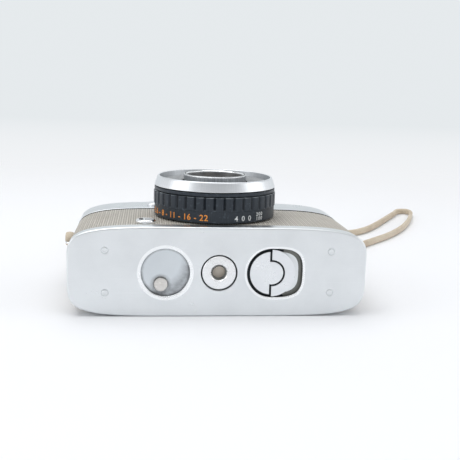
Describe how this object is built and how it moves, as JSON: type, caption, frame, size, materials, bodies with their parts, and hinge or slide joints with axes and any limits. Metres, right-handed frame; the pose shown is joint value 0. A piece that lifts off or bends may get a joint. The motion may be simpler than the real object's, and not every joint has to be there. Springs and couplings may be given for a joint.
{
  "type": "half frame camera",
  "caption": "Compact half frame film camera lying on its back, with a ringed light cell lens, slide-off rear cover, thumb wheel advance and a thin leather strap.",
  "frame": {"origin": "middle of the flat rear face that the camera rests on, at mid width and mid height of the body", "axes": "+Z out along the lens axis, +Y towards the top cover, -Y towards the base plate, +X towards the film cassette's side"},
  "size_m": [0.2346, 0.2589, 0.0547],
  "materials": {
    "satin_chrome": "satin chrome plate",
    "bright_chrome": "polished chrome plate",
    "black_metal": "black anodised, semi matt",
    "cast_alloy": "bare casting and plain sheet",
    "covering": "finely ribbed grey leatherette",
    "brass": "worn brass",
    "glass": "clear, coated",
    "black_plastic": "matt moulded",
    "white_plastic": "matt moulded",
    "cell": "dark selenium cell",
    "strap_leather": "cream smooth leather"
  },
  "bodies": {
    "camera_body": {"body_casting": "cast_alloy", "front_leatherette": "covering", "top_cover": "satin_chrome", "tripod_bushing": "bright_chrome", "sync_terminal": "bright_chrome", "sync_contact": "brass", "front_cap": "bright_chrome", "barrel_tube": "black_metal", "front_bezel": "satin_chrome", "light_cell": "cell", "cell_window": "glass", "inner_ring": "bright_chrome", "front_lens": "glass", "shutter_housing": "black_metal", "shutter_plate": "black_metal", "rear_lens": "glass", "viewfinder_tube": "black_plastic", "viewfinder_window": "glass", "eyepiece_window": "glass", "meter_movement": "black_plastic", "counter_window": "glass", "release_collar": "bright_chrome", "strap_lug_left": "bright_chrome", "strap_lug_right": "bright_chrome", "strap_end_left": "strap_leather", "strap_end_right": "strap_leather", "strap": "strap_leather", "lock_catch": "cast_alloy"},
    "exposure_ring": {"exposure_ring": "black_metal"},
    "shutter_blade_a": {"shutter_blade_a": "black_metal"},
    "shutter_blade_b": {"shutter_blade_b": "black_metal"},
    "meter_needle": {"meter_needle": "white_plastic"},
    "film_advance": {"advance_wheel": "black_plastic", "wheel_gear": "brass", "take_up_spool": "black_plastic"},
    "sprocket": {"sprocket_gear": "brass", "sprocket_shaft": "cast_alloy"},
    "counter_dial": {"counter_dial": "white_plastic"},
    "shutter_button": {"shutter_button": "bright_chrome"},
    "rewind": {"rewind_knob": "bright_chrome", "rewind_fork": "cast_alloy"},
    "rewind_crank": {"rewind_crank": "bright_chrome"},
    "crank_knob": {"crank_knob": "bright_chrome"},
    "rewind_release_button": {"rewind_release_button": "brass"},
    "rear_cover": {"base_plate": "satin_chrome", "back_plate": "cast_alloy", "back_leatherette": "covering", "rivet_left_front": "bright_chrome", "rivet_left_rear": "bright_chrome", "rivet_right_front": "bright_chrome", "rivet_right_rear": "bright_chrome", "pressure_spring": "cast_alloy"},
    "pressure_plate": {"pressure_plate": "black_metal"},
    "lock_key": {"lock_key": "satin_chrome", "lock_cam": "cast_alloy"},
    "key_flap": {"key_flap": "satin_chrome"}
  },
  "joints": [
    {"name": "exposure_ring_turn", "type": "hinge", "parent": "camera_body", "child": "exposure_ring", "pos_m": [0, -0.0016, 0.042], "axis": [0, 0, 1], "range_deg": [-120, 120]},
    {"name": "shutter_blade_a_swing", "type": "hinge", "parent": "camera_body", "child": "shutter_blade_a", "pos_m": [-0.011, -0.0016, 0.0384], "axis": [0, 0, 1], "range_deg": [0, 53], "stiffness_Nm_per_rad": 0.0005},
    {"name": "shutter_blade_b_swing", "type": "hinge", "parent": "camera_body", "child": "shutter_blade_b", "pos_m": [0.011, -0.0016, 0.039], "axis": [0, 0, 1], "range_deg": [0, 53]},
    {"name": "meter_needle_swing", "type": "hinge", "parent": "camera_body", "child": "meter_needle", "pos_m": [0.0225, 0.0305, 0.0181], "axis": [0, 1, 0], "range_deg": [-18, 18], "stiffness_Nm_per_rad": 0.00005},
    {"name": "advance_wheel_turn", "type": "hinge", "parent": "camera_body", "child": "film_advance", "pos_m": [-0.0435, 0.0213, 0.0154], "axis": [0, 1, 0], "continuous": true},
    {"name": "sprocket_turn", "type": "hinge", "parent": "camera_body", "child": "sprocket", "pos_m": [-0.0234, 0.0213, 0.013], "axis": [0, 1, 0], "continuous": true},
    {"name": "counter_dial_turn", "type": "hinge", "parent": "camera_body", "child": "counter_dial", "pos_m": [-0.0435, 0.0313, 0.0154], "axis": [0, 1, 0], "continuous": true},
    {"name": "shutter_button_press", "type": "slide", "parent": "camera_body", "child": "shutter_button", "axis": [0, -1, 0], "range_m": [0, 0.0022], "stiffness_N_per_m": 300},
    {"name": "rewind_turn", "type": "hinge", "parent": "camera_body", "child": "rewind", "pos_m": [0.0433, 0.034, 0.0175], "axis": [0, 1, 0], "continuous": true},
    {"name": "rewind_crank_fold", "type": "hinge", "parent": "rewind", "child": "rewind_crank", "pos_m": [0.0488, 0.0366, 0.0175], "axis": [0, 0, -1], "range_deg": [0, 180]},
    {"name": "crank_knob_spin", "type": "hinge", "parent": "rewind_crank", "child": "crank_knob", "pos_m": [0.0373, 0.0362, 0.0175], "axis": [0, 1, 0], "continuous": true},
    {"name": "rewind_release_press", "type": "slide", "parent": "camera_body", "child": "rewind_release_button", "axis": [0, 1, 0], "range_m": [0, 0.0015], "stiffness_N_per_m": 300},
    {"name": "rear_cover_slide", "type": "slide", "parent": "camera_body", "child": "rear_cover", "axis": [0, -1, 0], "range_m": [0, 0.06]},
    {"name": "pressure_plate_press", "type": "slide", "parent": "rear_cover", "child": "pressure_plate", "axis": [0, 0, -1], "range_m": [0, 0.001], "stiffness_N_per_m": 400, "deforming": ["pressure_spring"]},
    {"name": "lock_key_turn", "type": "hinge", "parent": "rear_cover", "child": "lock_key", "pos_m": [0.0214, -0.033, 0.0181], "axis": [0, -1, 0], "range_deg": [0, 90]},
    {"name": "key_flap_fold", "type": "hinge", "parent": "lock_key", "child": "key_flap", "pos_m": [0.02145, -0.03265, 0.0181], "axis": [0, 0, -1], "range_deg": [0, 90]}
  ],
  "couplings": [
    {"joint": "shutter_blade_b_swing", "follows": "shutter_blade_a_swing", "ratio": 1},
    {"joint": "sprocket_turn", "follows": "advance_wheel_turn", "ratio": -1.3333},
    {"joint": "counter_dial_turn", "follows": "advance_wheel_turn", "ratio": 0.027778}
  ]
}
